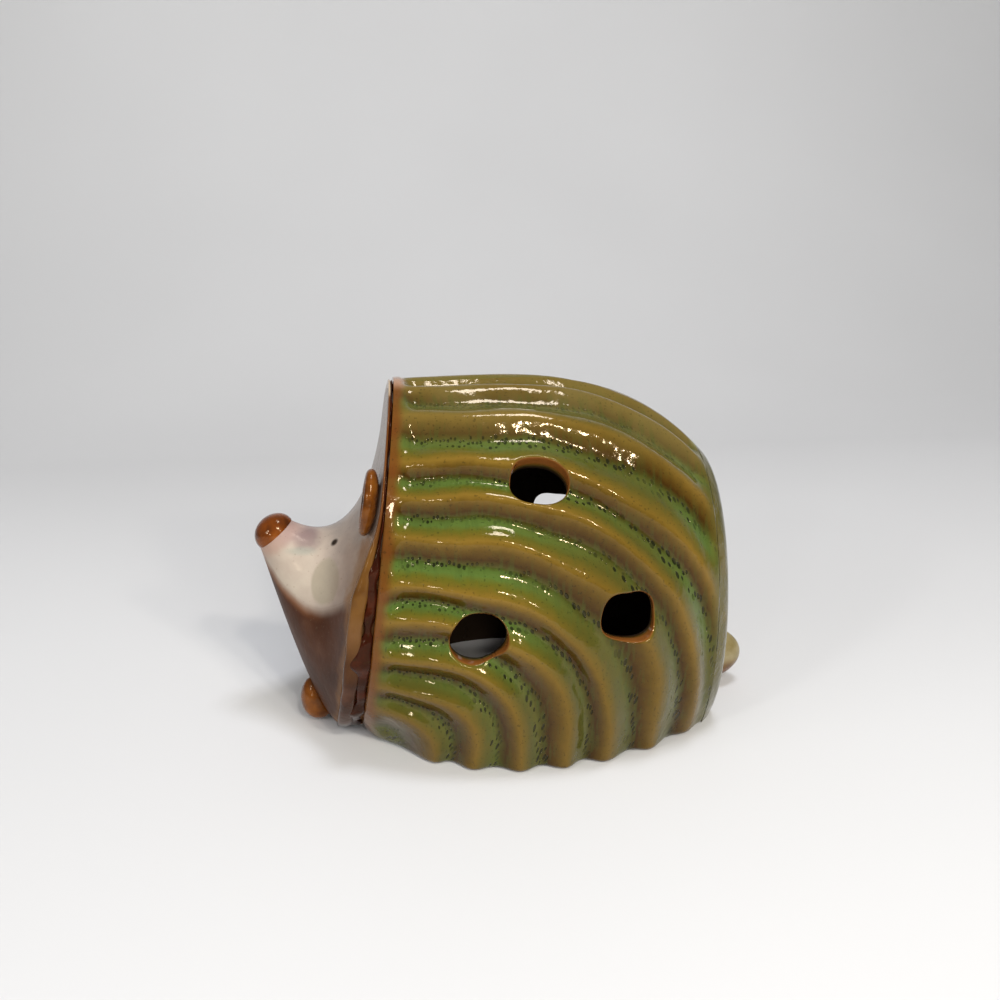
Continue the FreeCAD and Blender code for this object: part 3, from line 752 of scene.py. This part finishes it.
def cream_glaze():
    """Half-matt cream glaze over the face, with painted shade and a painted brown reflection below
    the jaw line, eyes and blushes.

    The jaw line sags between the snout and the collar: its height is a low value plus the
    squared distance along X from its lowest place.
    """
    nodes = Nodes("cream glaze on the drawn-out face")
    add, spot = nodes.add, nodes.spot
    x, y, z = add("SeparateXYZ", spot, out=None)
    side = add("Math ABSOLUTE", y)
    cream = add(RAMP, add(NOISE, spot, 75, 4),
                stops=((0.3, "90847A"), (0.55, "A6988A"), (0.8, "B4A898")))
    # Below the jaw line: painted shade with a painted brown reflection, not a glaze colour
    under = add(RAMP, add(NOISE, spot, 80, 3),
                stops=((0.3, "2C1408"), (0.6, "402212"), (0.8, "543626")))
    gap = add(MINUS, x, JAW_X * MM)
    sag = add(TIMES, add(TIMES, gap, gap), JAW_BEND / MM)
    ragged = add(TIMES, add(MINUS, add(NOISE, spot, 60, 3), 0.5), 0.004)
    line = add(MINUS, add(PLUS, z, ragged), add(PLUS, sag, JAW_LOW * MM))
    colour = add(MIX, add(STEP, line, -0.0022, 0.0014), under, cream)
    rust = add(TIMES, add(STEP, line, -0.0035, -0.0012), add(STEP, line, -0.0010, 0.0012, 1, 0))
    rust = add(TIMES, rust, add(STEP, x, -0.060, -0.050, 1, 0))
    colour = add(MIX, add(TIMES, rust, 0.42), colour, "8A5A3A")
    keel = add(STEP, side, 0.0006, 0.0026, 1, 0)
    keel = add(TIMES, keel, add(STEP, z, 0.046, 0.053, 1, 0))
    colour = add(MIX, add(TIMES, keel, 0.6), colour, "6A4228")
    for centre, radii, code, soft, amount, ragged, tilt in FACE_MARKS:
        ahead = add(MINUS, x, centre[0] * MM)
        aside = add(MINUS, side, centre[1] * MM)
        rise = add(MINUS, z, centre[2] * MM)
        cos, sin = math.cos(math.radians(tilt)), math.sin(math.radians(tilt))
        along = add(PLUS, add(TIMES, ahead, cos), add(TIMES, rise, sin))
        above = add(MINUS, add(TIMES, rise, cos), add(TIMES, ahead, sin))
        far = add(TIMES, add(MINUS, add(NOISE, spot, 230, 2), 0.5), ragged)
        shares = [add("Math DIVIDE", value, radius * MM)
                  for value, radius in zip((along, aside, above), radii)]
        squares = [add(TIMES, share, share) for share in shares]
        radius = add("Math SQRT", add(PLUS, add(PLUS, squares[0], squares[1]), squares[2]))
        mask = add(STEP, add(PLUS, radius, far), 1 - soft, 1 + soft, amount, 0)
        colour = add(MIX, mask, colour, code)
    # Grey where it is thick beside the rolled edge, and tan where it breaks on that edge
    plane = add(TIMES, z, FRONT_LEAN / CROWN[0])
    plane = add(MINUS, plane, (FRONT_LEAN - FRONT_X) * MM)
    low, high = EDGE_TURN
    proud = add(STEP, z, low * MM, high * MM, (EDGE_PROUD + EDGE_MORE) * MM, EDGE_PROUD * MM)
    near = add(MINUS, add(MINUS, plane, proud), x)
    near = add(PLUS, near, add(TIMES, add(MINUS, add(NOISE, spot, 130, 3), 0.5), 0.004))
    grey = add(STEP, near, 0.0015, 0.0080, 1, 0)
    grey = add(TIMES, grey, add(STEP, z, 0.020, 0.050))
    colour = add(MIX, add(TIMES, grey, 0.5), colour, "5C443A")
    tan_edge = add(STEP, near, -0.0002, 0.0016, 1, 0)
    tan_edge = add(TIMES, tan_edge, add(STEP, z, 0.056, 0.064, 1, 0))
    colour = add(MIX, add(TIMES, tan_edge, 0.8), colour, "74502E")
    specks = add(STEP, add(NOISE, spot, 1400, 1), 0.68, 0.76)
    colour = add(MIX, add(TIMES, specks, 0.3), colour, "6A5646")
    rough = add(STEP, line, -0.0022, 0.0014, 0.45, 0.22)
    return nodes.finish(colour, add(NOISE, spot, 150, 3), rough=rough, ior=1.38, bump=0.0005,
                        shine=0.22)


collar_ring = collar_path(FACE_INSET, 120)[0]
under = np.linspace(0, 1, 13)[1:-1, None]
collar_ring = np.concatenate([collar_ring, collar_ring[-1] * (1 - under) + collar_ring[0] * under])
edge_shift = edge_forward(collar_ring[:, 2])
outer_rings = []
for share in (0.0, 0.5, 0.8, 0.95):
    ring = collar_ring.copy()
    ring[:, 0] -= edge_shift * share
    outer_rings.append(ring)
outer_rings += [snout_ring(share) for share in np.linspace(0, 1, 90)]
tip = outer_rings[-1]
tip_middle = tip.mean(0)
outer_rings += [tip * (1 - share) + tip_middle * share for share in (0.3, 0.6, 0.9)]
inner_rings = [snout_ring(share, FACE_WALL, FACE_WALL, ease=False)
               for share in np.linspace(0.8, 0, 40)]
inner_end = inner_rings[0]
inner_middle = inner_end.mean(0)
inner_start = [inner_end * (1 - share) + inner_middle * share for share in (0.9, 0.6, 0.3)]
rear = inner_rings[-1].copy()
rear[:, 0] = front_plane_x(rear[:, 2]) + 0.02
face = loft("face_glazed", inner_start + inner_rings + [rear] + outer_rings, cream_glaze())
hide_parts("face")
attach(face, "root")


# Nose. A cap of clay on the snout's slanted end, stuck with slip and dipped in orange-brown
# glaze, which is thin and bright on top and dark where it gathers.
def brown_glaze(name, bright, middle, dark, scale=160):
    """Orange-brown glaze, darker where it pools, with a lighter blush where it is thin."""
    nodes = Nodes(name)
    add, spot = nodes.add, nodes.spot
    colour = add(RAMP, add(NOISE, spot, scale, 4),
                 stops=((0.32, dark), (0.5, middle), (0.72, bright)))
    return nodes.finish(colour, add(NOISE, spot, 380, 3))


nose_glaze = brown_glaze("orange-brown glaze on the nose", "7E4416", "66320C", "401E0A")
(high_x, high_z), (low_x, low_z) = SNOUT_TOP[-1], SNOUT_LOW[-1]
snout_end = ((high_x + low_x) / 2, 0, (high_z + low_z) / 2)
slant = math.degrees(math.atan2(high_z - low_z, high_x - low_x))
nose = dome("nose_glazed", snout_end, (5.7, 5.4, 4.85), slant - 78, nose_glaze, wobble=0.01)
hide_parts("nose")
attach(nose, "root")


# Ears. Small pressed discs of clay with a thumbed hollow, stuck on the face beside its rolled
# edge. The far one sits lower and is pressed in flatter. Both are orange-brown.
def ear_rings(centre, tall, half, thick, lean, swing, dish_deep):
    """Rings of a dished disc that faces forward: out over the dish, round the rim and back."""
    share = np.linspace(0, 1, 16)[1:]
    dish = [(0.80 * value, 0.55 - dish_deep * (1 - value ** 2)) for value in share]
    rim = [(0.80 + 0.20 * math.sin(turn), 0.55 * math.cos(turn))
           for turn in np.linspace(0, math.pi / 2, 8)[1:]]
    back = [(math.cos(turn), -1.0 * math.sin(turn)) for turn in np.linspace(0, 1.45, 14)[1:]]
    angle = np.linspace(0, 2 * math.pi, 72, endpoint=False)
    rings = []
    for radius, forward in dish + rim + back:
        egg = 1 - 0.10 * np.sin(angle)
        z = radius * tall * np.sin(angle)
        y = radius * half * np.cos(angle) * egg
        x = -forward * thick * np.ones(angle.shape)
        turn = math.radians(lean)
        ahead = x * math.cos(turn) + z * math.sin(turn)
        aside = math.radians(swing)
        rings.append(np.stack([ahead * math.cos(aside) + y * math.sin(aside),
                               y * math.cos(aside) - ahead * math.sin(aside),
                               z * math.cos(turn) - x * math.sin(turn)], -1) + centre)
    return rings


ear_glaze = brown_glaze("orange-brown glaze on the ears", "7C4A16", "60340E", "321808", 190)
for name, centre, swing, dish_deep in (("left_ear", (-39.3, -21.5, 67.3), 0, 0.85),
                                       ("right_ear", (-39.8, 21.8, 55.2), 4, -0.15)):
    rings = ear_rings(np.array(centre), tall=8.7, half=6.2, thick=2.6, lean=9.5, swing=swing,
                      dish_deep=dish_deep)
    ear = loft(name + "_glazed", rings, ear_glaze)
    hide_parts(name)
    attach(ear, "root")


# Paws. Two small teardrops of clay pressed against the chin, standing on the foot line, with
# the same brown glaze, darker at their sides.
paw_glaze = brown_glaze("orange-brown glaze on the paws", "844C1A", "623410", "381C0A", 170)
for name, centre in (("left_paw", (-55.8, -7.0, 6.45)), ("right_paw", (-54.2, 7.0, 6.45))):
    paw = dome(name + "_glazed", centre, (4.45, 4.3, 6.3), -12, paw_glaze, taper=0.16,
               full=True, wobble=0.015)
    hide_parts(name)
    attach(paw, "root")


# Stage: a plain pale floor that turns up into the backdrop, soft boxes and small lamps, and
# the camera at the photo's viewing angle.
def stage_piece():
    """A sweep: floor, a quarter bend and a wall behind, and open in front."""
    bend = np.linspace(0, math.pi / 2, 16)
    profile = [(-2500.0, 0.0), (300.0, 0.0)]
    profile += [(300 + 400 * math.sin(turn), 400 - 400 * math.cos(turn)) for turn in bend]
    profile += [(700.0, 2500.0)]
    profile = np.array(profile)
    points = np.concatenate([np.stack([np.full(len(profile), x), profile[:, 0], profile[:, 1]],
                                      -1) for x in (-2500.0, 2500.0)])
    count = len(profile)
    index = np.arange(count)
    faces = np.stack([index[:-1], index[:-1] + count, index[1:] + count, index[1:]], -1)
    nodes = Nodes("matt pale paper sweep")
    add, spot = nodes.add, nodes.spot
    colour = add(RAMP, add(NOISE, spot, 3, 2), stops=((0.3, "D2D2D2"), (0.7, "D8D8D8")))
    material = nodes.finish(colour, add(NOISE, spot, 40, 1), rough=0.9, bump=0.0)
    return make_piece("sweep", points, faces, material)


stage_piece()

world = bpy.data.worlds.new("studio")
bpy.context.scene.world = world
world.use_nodes = True
sky = world.node_tree.nodes["Background"].inputs
sky["Color"].default_value = linear("E6E8EA")
sky["Strength"].default_value = 0.20


def lamp(name, place, aim, size, power, code="FFFFFF", mirrored=True):
    """A square area lamp in mm that faces a point, and whether glossy glaze mirrors it."""
    data = bpy.data.lights.new(name, "AREA")
    data.size = size * MM
    data.energy = power
    data.color = linear(code)[:3]
    light = bpy.data.objects.new(name, data)
    place, aim = np.array(place, float), np.array(aim, float)
    gap = aim - place
    flat = math.hypot(gap[0], gap[1])
    light.rotation_euler = (math.pi / 2 + math.atan2(gap[2], flat), 0,
                            math.atan2(gap[1], gap[0]) - math.pi / 2)
    light.location = place * MM
    light.visible_glossy = mirrored
    bpy.context.scene.collection.objects.link(light)


lamp("soft_top", (60, -150, 900), (0, 0, 40), 600, 0.7, mirrored=False)
lamp("soft_left", (-700, -350, 450), (0, 0, 40), 500, 1.4, mirrored=False)
lamp("soft_front", (250, -900, 520), (0, 200, 130), 600, 5.0, mirrored=False)
lamp("window", (110, -80, 900), (0, 0, 40), 180, 2.9, "F0F4FF")
lamp("window_left", (-620, -500, 420), (0, 0, 40), 80, 1.0)
lamp("window_low", (-420, -760, 260), (0, 0, 40), 60, 0.6)
lamp("lamp_near_a", (80, -520, 560), (0, 0, 50), 46, 1.1, "FFF8EC")
lamp("lamp_near_b", (190, -540, 520), (0, 0, 50), 46, 1.1, "FFF8EC")
lamp("lamp_near_c", (330, -620, 420), (0, 0, 50), 46, 1.0, "FFF8EC")

camera_data = bpy.data.cameras.new("camera")
camera_data.sensor_width = 36.0
camera_data.lens = 34.67
camera_data.clip_start = 0.01
camera_data.clip_end = 20
camera = bpy.data.objects.new("camera", camera_data)
turn, pitch = math.radians(7.7), math.radians(17)
distance, height, shift_x = 256.6, 138.4, 3.0
camera.location = np.array([-shift_x - distance * math.sin(turn), -distance * math.cos(turn),
                            height]) * MM
camera.rotation_euler = Euler((math.pi / 2 - pitch, 0, -turn))
bpy.context.scene.collection.objects.link(camera)
bpy.context.scene.camera = camera
bpy.context.scene.view_settings.view_transform = "Standard"
